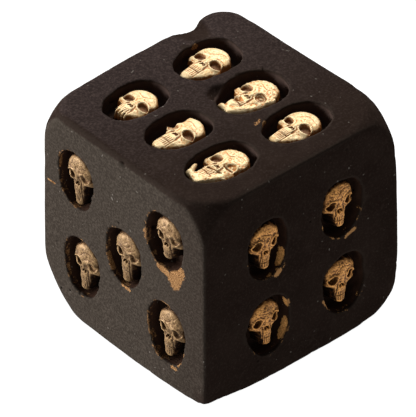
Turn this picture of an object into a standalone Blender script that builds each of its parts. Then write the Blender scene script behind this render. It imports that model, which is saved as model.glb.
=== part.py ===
"""Skull-pip die: a hand-cast charcoal resin cube with ball-rounded corners and
twenty-one egg-shaped pockets, each holding a small gold skull in relief.

Metres, +Z up. The origin is on the resting plane, under the centre of the
bounding box. The six is on +Z, the five on -Y, the four on +X, the two on +Y,
the three on -X and the one on -Z.
"""

import math

import bmesh
import bpy
from mathutils import Matrix, Vector

for old in list(bpy.data.objects):
    bpy.data.objects.remove(old, do_unlink=True)

MM = 0.001

# Driving dimensions
SIDE = 20.0 * MM  # nominal face-to-face size
SKULL_DROP = 0.3 * MM  # how far a skull sits below the middle of its pocket
EDGE_BREAK = 0.22 * MM  # the slight break along every straight edge
POCKET_DEPTH = 1.55 * MM  # from the face to the pocket floor
GLUE_GAP = 0.05 * MM  # between a skull's back and its pocket floor
SKULL_PROUD = 0.10 * MM  # how far below the face the highest brow stays
POCKET_WALL_POINTS = 26  # points round one pocket outline
CHEEK_NOTCH = 0.42 * MM  # how far the small cheek notches reach past the oval

# The hand-cast cube is a little out of true. Each face plane: how far it sits
# outside (+) the nominal face in mm, then how it leans, in degrees, along the
# two other axes in X, Y, Z order. The face it stands on is flat and square.
FACE_PLANES = {
    (0, 1): (0.18, 1.80, -1.07),  # +X
    (0, -1): (0.19, -1.00, 1.36),  # -X
    (1, 1): (0.16, 0.68, -1.28),  # +Y
    (1, -1): (0.16, 0.13, 0.95),  # -Y
    (2, 1): (-0.18, 0.32, 1.66),  # +Z
    (2, -1): (0.10, 0.0, 0.0),  # -Z
}

# How round each corner is: the radius, in mm, of the quarter circle that the
# corner's ball leaves on each of its three faces. The keys are the corner's signs.
CORNER_ROUND = {
    (1, -1, 1): 4.5,
    (-1, -1, 1): 4.0,
    (1, 1, 1): 4.5,
    (-1, 1, 1): 3.2,
    (-1, -1, -1): 6.6,
    (1, -1, -1): 2.2,
    (1, 1, -1): 3.6,
    (-1, 1, -1): 4.4,
}

# Each face: its outward normal n, and the directions u (right) and v (up the skulls).
FACES = {
    "six": (Vector((1, 0, 0)), Vector((0, 1, 0))),
    "five": (Vector((1, 0, 0)), Vector((0, 0, 1))),
    "four": (Vector((0, 1, 0)), Vector((0, 0, 1))),
    "three": (Vector((0, -1, 0)), Vector((0, 0, 1))),
    "two": (Vector((-1, 0, 0)), Vector((0, 0, 1))),
    "one": (Vector((1, 0, 0)), Vector((0, -1, 0))),
}

# Each pip: face, place on the face (u, v), pocket width and height, which sides
# have a cheek notch (-1 left, +1 right, 0 both) and its height from the centre,
# then the skull's width and height share, jaw width share, jaw length share,
# sideways lean in degrees, and which eye sockets are open (-1 left, +1 right, 0 both).
PIPS = {
    "skull_six_back_left": ("six", -5.40, 3.72, 4.6, 6.35, -1, -0.25, 1.00, 1.00, 1.00, 1.00, 2, 0),
    "skull_six_back_middle": ("six", 0.35, 3.35, 4.9, 6.5, -1, -0.35, 1.03, 0.98, 1.05, 0.96, -3, -1),
    "skull_six_back_right": ("six", 5.75, 3.22, 4.3, 6.35, -1, -0.3, 0.94, 1.00, 0.80, 0.97, 3, 0),
    "skull_six_front_left": ("six", -5.30, -4.22, 4.4, 6.05, -1, -0.75, 0.96, 0.95, 1.05, 0.78, -2, 0),
    "skull_six_front_middle": ("six", 0.05, -4.25, 4.5, 5.9, -1, -0.5, 0.88, 0.97, 0.90, 1.05, 1, 1),
    "skull_six_front_right": ("six", 5.55, -4.55, 4.3, 6.5, -1, -0.4, 0.94, 0.98, 0.95, 0.95, -4, -1),
    "skull_five_upper_left": ("five", -5.90, 4.45, 4.6, 5.5, 1, -0.35, 0.98, 0.92, 0.95, 1.00, 2, 0),
    "skull_five_lower_left": ("five", -5.05, -4.33, 4.5, 5.85, 1, -0.65, 0.96, 0.96, 1.00, 0.95, 0, 0),
    "skull_five_middle": ("five", 0.15, -0.05, 4.5, 5.7, 1, -0.45, 0.97, 0.94, 0.92, 1.00, -1, 0),
    "skull_five_upper_right": ("five", 5.20, 4.65, 4.6, 5.5, -1, -0.4, 0.97, 0.92, 1.02, 0.94, 1, 0),
    "skull_five_lower_right": ("five", 5.45, -4.72, 4.5, 6.2, 1, -0.1, 0.97, 0.97, 0.95, 1.02, -2, 0),
    "skull_four_upper_left": ("four", -3.50, 3.20, 4.2, 6.0, -1, -0.2, 0.93, 0.96, 0.80, 1.00, -2, 0),
    "skull_four_upper_right": ("four", 4.20, 3.30, 4.4, 5.8, 1, -0.3, 0.95, 0.95, 0.82, 0.98, 1, 0),
    "skull_four_lower_left": ("four", -3.43, -4.70, 4.35, 6.0, -1, -0.2, 0.94, 0.96, 0.78, 1.03, 2, 0),
    "skull_four_lower_right": ("four", 4.40, -4.55, 4.5, 5.9, 1, -0.25, 0.96, 0.95, 0.85, 0.96, -1, 0),
    "skull_three_upper": ("three", 5.10, 4.55, 4.5, 6.0, 0, -0.4, 0.97, 0.96, 0.95, 1.00, 3, 0),
    "skull_three_middle": ("three", 0.05, 0.10, 4.5, 6.1, 0, -0.3, 0.96, 0.97, 0.92, 0.98, -2, 0),
    "skull_three_lower": ("three", -5.20, -4.60, 4.4, 6.0, 0, -0.4, 0.95, 0.96, 0.98, 1.00, 1, 0),
    "skull_two_upper": ("two", -4.95, 4.40, 4.5, 6.1, 0, -0.35, 0.97, 0.97, 0.90, 0.98, -1, 0),
    "skull_two_lower": ("two", 5.05, -4.50, 4.5, 6.0, 0, -0.4, 0.97, 0.96, 0.96, 1.00, 2, 0),
    "skull_one": ("one", 0.10, 0.05, 4.6, 6.2, 0, -0.35, 1.00, 0.98, 0.95, 1.00, -1, 0),
}

scene = bpy.context.scene
parts = bpy.data.collections.new("parts")
cutters = bpy.data.collections.new("cutters")
scene.collection.children.link(parts)
scene.collection.children.link(cutters)


def principled(name, colour, roughness, metallic):
    material = bpy.data.materials.new(name)
    material.use_nodes = True
    shader = material.node_tree.nodes["Principled BSDF"]
    shader.inputs["Base Color"].default_value = (*colour, 1.0)
    shader.inputs["Roughness"].default_value = roughness
    shader.inputs["Metallic"].default_value = metallic
    material.diffuse_color = (*colour, 1.0)
    return material


RESIN = principled("die_resin", (0.034, 0.026, 0.022), 0.62, 0.0)
GOLD = principled("skull_gold", (0.66, 0.45, 0.20), 0.38, 0.85)


def put(name, mesh, collection, material=None):
    thing = bpy.data.objects.new(name, mesh)
    collection.objects.link(thing)
    if material:
        mesh.materials.clear()
        mesh.materials.append(material)
    if collection is cutters:
        thing.hide_render = True
        thing.display_type = "WIRE"
    return thing


def solid(name, build, collection=None, matrix=None):
    """An object from one bmesh primitive call, moved by matrix."""
    bm = bmesh.new()
    build(bm)
    if matrix is not None:
        bmesh.ops.transform(bm, matrix=matrix, verts=bm.verts)
    bmesh.ops.recalc_face_normals(bm, faces=bm.faces)
    mesh = bpy.data.meshes.new(name)
    bm.to_mesh(mesh)
    bm.free()
    return put(name, mesh, collection or cutters)


def boolean(thing, other, operation):
    modifier = thing.modifiers.new(operation.lower(), "BOOLEAN")
    modifier.operation = operation
    modifier.solver = "EXACT"
    modifier.object = other


def face_matrix(face):
    """Takes face coordinates (u, v, out of the face) to the centred cube's."""
    u, v = FACES[face]
    n = u.cross(v)
    turn = Matrix((u, v, n)).transposed().to_4x4()
    return Matrix.Translation(n * SIDE / 2) @ turn


def pocket_outline(width, height, notch_side, notch_v):
    """An egg, wider at the cranium end, with small pointed notches at the cheeks."""
    points = []
    for step in range(POCKET_WALL_POINTS):
        turn = 2 * math.pi * (step + 0.5) / POCKET_WALL_POINTS
        c, s = math.cos(turn), math.sin(turn)
        x = 0.5 * width * math.copysign(abs(c) ** 0.86, c) * (1 + 0.10 * s)
        y = 0.5 * height * math.copysign(abs(s) ** 0.92, s)
        side = 1 if x > 0 else -1
        if notch_side in (0, side):
            near = abs(y - notch_v) / (0.42 * MM)
            x += side * CHEEK_NOTCH * max(0.0, 1 - near)
        points.append((x, y))
    return points


def pocket_cutter(name, place, width, height, notch_side, notch_v):
    outline = pocket_outline(width, height, notch_side, notch_v)

    def build(bm):
        low = [bm.verts.new((x, y, -POCKET_DEPTH)) for x, y in outline]
        floor = bm.faces.new(low)
        up = bmesh.ops.extrude_face_region(bm, geom=[floor])["geom"]
        lifted = [v for v in up if isinstance(v, bmesh.types.BMVert)]
        bmesh.ops.translate(bm, verts=lifted, vec=(0, 0, POCKET_DEPTH + 1.5 * MM))

    return solid(name, build, matrix=place)


def ball(centre, radii, turns=10, rings=7):
    shape = Matrix.Translation(Vector(centre) * MM) @ Matrix.Diagonal(
        Vector(radii) * MM
    ).to_4x4()

    def build(bm):
        bmesh.ops.create_uvsphere(
            bm, u_segments=turns, v_segments=rings, radius=1.0, matrix=shape
        )

    return build


def taper(centre, turn, r_low, r_high, depth, sides, stretch=(1, 1, 1)):
    shape = (
        Matrix.Translation(Vector(centre) * MM)
        @ Matrix.Rotation(math.radians(turn), 4, "X")
        @ Matrix.Diagonal(Vector(stretch)).to_4x4()
    )

    def build(bm):
        bmesh.ops.create_cone(
            bm,
            cap_ends=True,
            cap_tris=False,
            segments=sides,
            radius1=r_low * MM,
            radius2=r_high * MM,
            depth=depth * MM,
            matrix=shape,
        )

    return build


def skull_mesh(name, jaw_width, jaw_length, eyes):
    """A skull in relief, cranium up +Y, face out +Z, flat on the pocket floor."""
    top = -SKULL_PROUD / MM
    jaw_end = -1.05 - 1.40 * jaw_length
    skull = solid(name + "_cranium", ball((0, 0.86, -1.15), (1.55, 1.60, 1.15 + top)))
    brow = solid(name + "_brow", ball((0, 1.02, -0.95), (1.42, 0.52, 0.95 + top), 8, 5))
    cheeks = solid(name + "_cheeks", ball((0, -0.12, -1.12), (1.76, 0.80, 0.78), 8, 6))
    muzzle = solid(
        name + "_muzzle",
        taper((0, -0.85, -1.10), -90, 1.22 * jaw_width, 0.95 * jaw_width, 1.5, 8, (1, 0.78, 1)),
    )
    jaw = solid(
        name + "_jaw",
        taper(
            (0, (jaw_end - 0.9) / 2, -1.20),
            -90,
            0.72 * jaw_width,
            1.05 * jaw_width,
            -0.9 - jaw_end,
            6,
            (1, 0.72, 1),
        ),
    )
    for other in (brow, cheeks, muzzle, jaw):
        boolean(skull, other, "UNION")
    holes = []
    for side in (-1, 1):
        if eyes in (0, side):
            holes.append(ball((side * 0.84, 0.42, -0.22), (0.46, 0.42, 0.60), 8, 5))
    holes.append(taper((0, -0.46, -0.38), 0, 0.30, 0.30, 0.7, 3, (1, 1.25, 1)))
    for index, build in enumerate(holes):
        boolean(skull, solid(f"{name}_hole_{index}", build), "DIFFERENCE")

    floor = -(POCKET_DEPTH - GLUE_GAP)
    keep = solid(
        name + "_keep",
        lambda bm: bmesh.ops.create_cube(
            bm,
            size=1.0,
            matrix=Matrix.Translation((0, 0, floor + 2 * MM))
            @ Matrix.Diagonal((8 * MM, 8 * MM, 4 * MM)).to_4x4(),
        ),
    )
    boolean(skull, keep, "INTERSECT")
    bpy.context.view_layer.update()
    graph = bpy.context.evaluated_depsgraph_get()
    mesh = bpy.data.meshes.new_from_object(skull.evaluated_get(graph))
    mesh.name = name
    for helper in [o for o in cutters.objects if o.name.startswith(name + "_")]:
        bpy.data.objects.remove(helper, do_unlink=True)
    return mesh


def cast_corner(signs):
    """Where three face planes meet, in units of SIDE."""
    rows, right = [], []
    for axis in range(3):
        out, *leans = FACE_PLANES[(axis, signs[axis])]
        slopes = iter(math.tan(math.radians(lean)) for lean in leans)
        rows.append([1.0 if i == axis else -next(slopes) for i in range(3)])
        right.append(signs[axis] * (0.5 + out * MM / SIDE))
    return Matrix(rows).inverted() @ Vector(right)


# The cage that gives the true cube its hand-cast irregular shape
cage_data = bpy.data.lattices.new("casting_cage")
cage_data.points_u = cage_data.points_v = cage_data.points_w = 2
for way in ("u", "v", "w"):
    setattr(cage_data, f"interpolation_type_{way}", "KEY_LINEAR")
for point in cage_data.points:
    signs = tuple(int(math.copysign(1, c)) for c in point.co)
    point.co_deform = cast_corner(signs)
cage = bpy.data.objects.new("casting_cage", cage_data)
cage.scale = (SIDE, SIDE, SIDE)
cutters.objects.link(cage)
cage.hide_render = True


def cast(thing):
    modifier = thing.modifiers.new("casting", "LATTICE")
    modifier.object = cage


# The body: a broken-edged cube with ball-rounded corners and the pockets cut in
body = solid("die_body", lambda bm: bmesh.ops.create_cube(bm, size=SIDE), parts)
body.data.materials.append(RESIN)
edge = body.modifiers.new("edge_break", "BEVEL")
edge.width = EDGE_BREAK
edge.segments = 2
edge.limit_method = "ANGLE"
for index, (signs, radius) in enumerate(CORNER_ROUND.items()):
    # the block outside a ball that just passes the three edges
    start = SIDE / 2 - radius * MM
    block_size = radius * MM + 1.0 * MM
    block = solid(
        f"corner_block_{index}",
        lambda bm: bmesh.ops.create_cube(
            bm,
            size=block_size,
            matrix=Matrix.Translation(Vector(signs) * (start + block_size / 2)),
        ),
    )
    round_ball = solid(
        f"corner_ball_{index}",
        lambda bm: bmesh.ops.create_icosphere(bm, subdivisions=4, radius=1.015 * math.sqrt(2) * radius * MM),
        matrix=Matrix.Translation(Vector(signs) * start) @ Matrix.Rotation(0.37, 4, Vector((0.3, 0.5, 0.8))),
    )
    boolean(block, round_ball, "DIFFERENCE")
    boolean(body, block, "DIFFERENCE")

for name, pip in PIPS.items():
    face, u, v, wide, high, notch_side, notch_v = pip[:7]
    width_share, height_share, jaw_width, jaw_length, lean, eyes = pip[7:]
    place = face_matrix(face) @ Matrix.Translation((u * MM, v * MM, 0))
    pocket = pocket_cutter(
        name.replace("skull", "pocket"), place, wide * MM, high * MM, notch_side, notch_v * MM
    )
    boolean(body, pocket, "DIFFERENCE")
    mesh = skull_mesh(name, jaw_width, jaw_length, eyes)
    set_in = (
        place
        @ Matrix.Translation((0, -SKULL_DROP, 0))
        @ Matrix.Rotation(math.radians(lean), 4, "Z")
        @ Matrix.Diagonal((width_share, height_share, 1, 1))
    )
    mesh.transform(set_in)
    cast(put(name, mesh, parts, GOLD))

cast(body)

# Stand the die on z = 0 with its bounding box centred on x = y = 0
bpy.context.view_layer.update()
graph = bpy.context.evaluated_depsgraph_get()
shape = body.evaluated_get(graph).to_mesh()
low = Vector([min(v.co[i] for v in shape.vertices) for i in range(3)])
high = Vector([max(v.co[i] for v in shape.vertices) for i in range(3)])
body.evaluated_get(graph).to_mesh_clear()
rest = Vector((-(low.x + high.x) / 2, -(low.y + high.y) / 2, -low.z))
for thing in list(parts.objects) + list(cutters.objects):
    thing.location += rest
bpy.context.view_layer.update()
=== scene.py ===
"""Looks of the skull-pip die: sculpted resin body, sculpted gold skulls,
procedural materials, a pale floor, soft studio lights and the camera."""
import math

import bpy
import numpy as np
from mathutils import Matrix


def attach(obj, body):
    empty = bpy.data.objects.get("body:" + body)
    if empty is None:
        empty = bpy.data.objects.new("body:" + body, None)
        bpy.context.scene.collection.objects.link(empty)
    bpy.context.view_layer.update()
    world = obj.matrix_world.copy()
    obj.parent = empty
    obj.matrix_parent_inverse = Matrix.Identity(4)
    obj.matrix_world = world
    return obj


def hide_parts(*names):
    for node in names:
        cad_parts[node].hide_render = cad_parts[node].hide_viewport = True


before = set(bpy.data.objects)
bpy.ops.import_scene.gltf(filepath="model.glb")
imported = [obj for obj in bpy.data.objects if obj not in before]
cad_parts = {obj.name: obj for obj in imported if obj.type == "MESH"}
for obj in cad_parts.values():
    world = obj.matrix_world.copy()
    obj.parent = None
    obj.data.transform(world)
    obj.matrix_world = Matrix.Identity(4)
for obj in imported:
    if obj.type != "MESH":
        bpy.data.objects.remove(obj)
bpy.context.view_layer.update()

import openvdb
from mathutils import Matrix, Vector

MM = 0.001
SIDE = 20.0  # millimetres

# ------------------------------------------------------------------ the cast shape
# Face planes of the hand-cast cube, the same as the CAD's: (axis, sign): how far
# out in mm, then the two leans in degrees.
FACE_PLANES = {
    (0, 1): (0.18, 1.80, -1.07),
    (0, -1): (0.19, -1.00, 1.36),
    (1, 1): (0.16, 0.68, -1.28),
    (1, -1): (0.16, 0.13, 0.95),
    (2, 1): (-0.18, 0.32, 1.66),
    (2, -1): (0.10, 0.0, 0.0),
}


def cast_corner(signs):
    rows, right = [], []
    for axis in range(3):
        out, *leans = FACE_PLANES[(axis, signs[axis])]
        slopes = iter([math.tan(math.radians(lean)) for lean in leans])
        rows.append([1.0 if i == axis else -next(slopes) for i in range(3)])
        right.append(signs[axis] * (SIDE / 2 + out))
    return np.linalg.solve(np.array(rows), np.array(right))


SIGNS = [(x, y, z) for x in (-1, 1) for y in (-1, 1) for z in (-1, 1)]
CORNERS = {s: cast_corner(s) for s in SIGNS}


def warp(p):
    """True-cube millimetres to cast-cube millimetres."""
    t = p / SIDE
    out = np.zeros_like(p)
    for s, c in CORNERS.items():
        w = (0.5 + s[0] * t[:, 0]) * (0.5 + s[1] * t[:, 1]) * (0.5 + s[2] * t[:, 2])
        out += w[:, None] * c
    return out


def warp_normals(p, n):
    eps = 0.01
    cols = [(warp(p + eps * e) - warp(p - eps * e)) / (2 * eps) for e in np.eye(3)]
    J = np.stack(cols, axis=2)
    m = np.einsum("nij,nj->ni", np.transpose(np.linalg.inv(J), (0, 2, 1)), n)
    return m / np.maximum(np.linalg.norm(m, axis=1, keepdims=True), 1e-9)


# where the true cube's centre lies in the frame, mm
CENTRE = np.array([-0.0460, -0.0721, SIDE / 2 + 0.10])


def to_world(p):
    return (warp(p) + CENTRE) * MM


# ------------------------------------------------------------------ sculpting tools
def lattice_noise(x, y, z, size, seed):
    """Smooth value noise in -1..1 with cells of the given size (mm)."""
    n = 32
    table = np.random.RandomState(seed).uniform(-1, 1, (n, n, n)).astype(np.float32)
    out = 0
    parts = []
    for a in (x, y, z):
        a = a / size + 1000.37
        i = np.floor(a).astype(np.int32)
        f = (a - i).astype(np.float32)
        parts.append((i % n, (i + 1) % n, f * f * (3 - 2 * f)))
    for dx in (0, 1):
        wx = parts[0][2] if dx else 1 - parts[0][2]
        for dy in (0, 1):
            wy = parts[1][2] if dy else 1 - parts[1][2]
            for dz in (0, 1):
                wz = parts[2][2] if dz else 1 - parts[2][2]
                out = out + wx * wy * wz * table[parts[0][dx], parts[1][dy], parts[2][dz]]
    return out


def smax(a, b, k):
    h = np.maximum(k - np.abs(a - b), 0) / k
    return np.maximum(a, b) + h * h * k * 0.25


def smin(a, b, k):
    h = np.maximum(k - np.abs(a - b), 0) / k
    return np.minimum(a, b) - h * h * k * 0.25


def ellipsoid(p, c, r, lean=0.0):
    x, y, z = p[0] - c[0], p[1] - c[1], p[2] - c[2]
    if lean:
        t = math.radians(lean)
        x, y = x * math.cos(t) + y * math.sin(t), -x * math.sin(t) + y * math.cos(t)
    k0 = np.sqrt((x / r[0]) ** 2 + (y / r[1]) ** 2 + (z / r[2]) ** 2)
    k1 = np.sqrt((x / r[0] ** 2) ** 2 + (y / r[1] ** 2) ** 2 + (z / r[2] ** 2) ** 2)
    return k0 * (k0 - 1) / np.maximum(k1, 1e-6)


def capsule(p, a, b, ra, rb=None):
    rb = ra if rb is None else rb
    ax, ay, az = b[0] - a[0], b[1] - a[1], b[2] - a[2]
    x, y, z = p[0] - a[0], p[1] - a[1], p[2] - a[2]
    t = np.clip((x * ax + y * ay + z * az) / (ax * ax + ay * ay + az * az), 0, 1)
    d = np.sqrt((x - t * ax) ** 2 + (y - t * ay) ** 2 + (z - t * az) ** 2)
    return d - (ra + (rb - ra) * t)


def sample(grid, origin, h, p):
    """Trilinear reading of grid at points p."""
    q = (p - origin) / h
    q = np.clip(q, 0, np.array(grid.shape) - 1.001)
    i = q.astype(np.int32)
    f = q - i
    out = 0
    for dx in (0, 1):
        for dy in (0, 1):
            for dz in (0, 1):
                w = (
                    (f[:, 0] if dx else 1 - f[:, 0])
                    * (f[:, 1] if dy else 1 - f[:, 1])
                    * (f[:, 2] if dz else 1 - f[:, 2])
                )
                out = out + w * grid[i[:, 0] + dx, i[:, 1] + dy, i[:, 2] + dz]
    return out


def grid_normals(grid, origin, h, p):
    e = h * 0.9
    n = np.stack(
        [
            sample(grid, origin, h, p + np.array(s) * e) - sample(grid, origin, h, p - np.array(s) * e)
            for s in ((1, 0, 0), (0, 1, 0), (0, 0, 1))
        ],
        axis=1,
    )
    return n / np.maximum(np.linalg.norm(n, axis=1, keepdims=True), 1e-9)


def laplacian(grid, h):
    out = np.zeros_like(grid)
    c = grid[1:-1, 1:-1, 1:-1]
    out[1:-1, 1:-1, 1:-1] = (
        grid[2:, 1:-1, 1:-1] + grid[:-2, 1:-1, 1:-1] + grid[1:-1, 2:, 1:-1]
        + grid[1:-1, :-2, 1:-1] + grid[1:-1, 1:-1, 2:] + grid[1:-1, 1:-1, :-2] - 6 * c
    ) / (h * h)
    return out


def polygonise(grid, origin, h, adaptivity):
    vol = openvdb.FloatGrid(4 * h)
    vol.copyFromArray(np.clip(grid, -4 * h, 4 * h).astype(np.float32))
    points, tris, quads = vol.convertToPolygons(isovalue=0.0, adaptivity=adaptivity)
    return points.astype(np.float64) * h + origin, tris, quads


def mesh_object(name, points, tris, quads, normals, attributes):
    """points in metres; faces are turned to face out, with sculpt normals."""
    # volume sign tells which way the surface tool wound the faces
    tri_all = [tris] if len(tris) else []
    if len(quads):
        tri_all += [quads[:, [0, 1, 2]], quads[:, [0, 2, 3]]]
    t = np.concatenate(tri_all)
    v = points - points.mean(axis=0)
    turned = np.einsum("ij,ij->i", v[t[:, 0]], np.cross(v[t[:, 1]], v[t[:, 2]])).sum() < 0
    if turned:
        tris, quads = tris[:, ::-1], quads[:, ::-1]
    loops = np.concatenate([tris.reshape(-1), quads.reshape(-1)]).astype(np.int32)
    sizes = np.concatenate([np.full(len(tris), 3), np.full(len(quads), 4)]).astype(np.int32)
    starts = np.concatenate([[0], np.cumsum(sizes)[:-1]]).astype(np.int32)
    mesh = bpy.data.meshes.new(name)
    mesh.vertices.add(len(points))
    mesh.vertices.foreach_set("co", points.astype(np.float32).reshape(-1))
    mesh.loops.add(len(loops))
    mesh.loops.foreach_set("vertex_index", loops)
    mesh.polygons.add(len(sizes))
    mesh.polygons.foreach_set("loop_start", starts)
    mesh.update(calc_edges=True)
    mesh.validate()
    mesh.shade_smooth()
    for key, values in attributes.items():
        a = mesh.attributes.new(key, "FLOAT", "POINT")
        a.data.foreach_set("value", values.astype(np.float32))
    if normals is not None and len(mesh.vertices) == len(normals):
        mesh.normals_split_custom_set_from_vertices(normals.astype(np.float32))
    thing = bpy.data.objects.new(name, mesh)
    bpy.context.scene.collection.objects.link(thing)
    return thing


# ------------------------------------------------------------------ faces and pips
FACES = {
    "six": ((0, 1), (1, 1), (2, 1)),
    "five": ((0, 1), (2, 1), (1, -1)),
    "four": ((1, 1), (2, 1), (0, 1)),
    "three": ((1, -1), (2, 1), (0, -1)),
    "two": ((0, -1), (2, 1), (1, 1)),
    "one": ((0, 1), (1, -1), (2, -1)),
}  # face: (axis, sign) of u, v and the outward direction

# node: face, u, v, pocket width, pocket height, notch side (-1, 1, 0 = both), notch v
POCKETS = {
    "skull_six_back_left": ("six", -5.40, 3.72, 4.6, 6.35, -1, -0.25),
    "skull_six_back_middle": ("six", 0.35, 3.35, 4.9, 6.5, -1, -0.35),
    "skull_six_back_right": ("six", 5.75, 3.22, 4.3, 6.35, -1, -0.3),
    "skull_six_front_left": ("six", -5.30, -4.22, 4.4, 6.05, -1, -0.75),
    "skull_six_front_middle": ("six", 0.05, -4.25, 4.5, 5.9, -1, -0.5),
    "skull_six_front_right": ("six", 5.55, -4.55, 4.3, 6.5, -1, -0.4),
    "skull_five_upper_left": ("five", -5.90, 4.45, 4.6, 5.5, 1, -0.35),
    "skull_five_lower_left": ("five", -5.05, -4.33, 4.5, 5.85, 1, -0.65),
    "skull_five_middle": ("five", 0.15, -0.05, 4.5, 5.7, 1, -0.45),
    "skull_five_upper_right": ("five", 5.20, 4.65, 4.6, 5.5, -1, -0.4),
    "skull_five_lower_right": ("five", 5.45, -4.72, 4.5, 6.2, 1, -0.1),
    "skull_four_upper_left": ("four", -3.50, 3.20, 4.2, 6.0, -1, -0.2),
    "skull_four_upper_right": ("four", 4.20, 3.30, 4.4, 5.8, 1, -0.3),
    "skull_four_lower_left": ("four", -3.43, -4.70, 4.35, 6.0, -1, -0.2),
    "skull_four_lower_right": ("four", 4.40, -4.55, 4.5, 5.9, 1, -0.25),
    "skull_three_upper": ("three", 5.10, 4.55, 4.5, 6.0, 0, -0.4),
    "skull_three_middle": ("three", 0.05, 0.10, 4.5, 6.1, 0, -0.3),
    "skull_three_lower": ("three", -5.20, -4.60, 4.4, 6.0, 0, -0.4),
    "skull_two_upper": ("two", -4.95, 4.40, 4.5, 6.1, 0, -0.35),
    "skull_two_lower": ("two", 5.05, -4.50, 4.5, 6.0, 0, -0.4),
    "skull_one": ("one", 0.10, 0.05, 4.6, 6.2, 0, -0.35),
}
POCKET_DEPTH = 1.55


def face_axes(face):
    return FACES[face]


def face_point(face, u, v, w=0.0):
    """Face coordinates (w out of the face) to the true cube's millimetres."""
    (ua, us), (va, vs), (wa, ws) = FACES[face]
    p = np.zeros(3)
    p[ua] += us * u
    p[va] += vs * v
    p[wa] += ws * (SIDE / 2 + w)
    return p


def outline_distance(x, y, width, height, notch_side, notch_v, seed):
    """About how far (x, y) is outside an irregular egg with cheek notches."""
    rng = np.random.RandomState(seed)
    egg = 1 + 0.10 * np.clip(y / (height / 2), -1, 1)
    a, b = width / 2 * egg, height / 2
    rho = np.sqrt(x * x + y * y) + 1e-6
    c, s = (np.abs(x) + 1e-6) / rho, (np.abs(y) + 1e-6) / rho
    m = 2.25
    radius = 1 / ((c / a) ** m + (s / b) ** m) ** (1 / m)
    theta = np.arctan2(y, x)
    for k in (2, 3, 4, 5, 7, 9, 13):
        radius = radius + rng.uniform(-1, 1) * (0.16 / k) * np.cos(k * theta + rng.uniform(0, 6.28))
    d = (rho - radius) * 0.96
    for side in (-1, 1):
        if notch_side in (0, side):
            wedge = np.maximum(np.abs(y - notch_v) * 0.95 - 0.40, 0)
            edge = width / 2 * (1 + 0.10 * notch_v / (height / 2)) + 0.50
            slope = (np.abs(y - notch_v) * 0.85 + (side * x - edge)) * 0.8
            d = np.where(side * x > 0.5, smin(d, np.maximum(slope, wedge), 0.06), d)
    return d


# ------------------------------------------------------------------ the body
# corner: radius (mm) of the arcs its ball leaves on the faces, how far the ball
# stands off (1 touches the edges), and how softly it meets them
CORNER_ROUND = {
    (1, -1, 1): (4.5, 1.0, 0.22),
    (-1, -1, 1): (4.0, 1.03, 0.45),
    (1, 1, 1): (4.5, 1.0, 0.45),
    (-1, 1, 1): (3.0, 1.03, 0.40),
    (-1, -1, -1): (7.4, 1.045, 0.45),
    (1, -1, -1): (1.4, 1.03, 0.25),
    (1, 1, -1): (3.5, 1.0, 0.40),
    (-1, 1, -1): (4.4, 1.02, 0.40),
}


DENT_AT, DENT_DEEP = 5.95, 0.46  # along the back left top edge, mm


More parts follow.
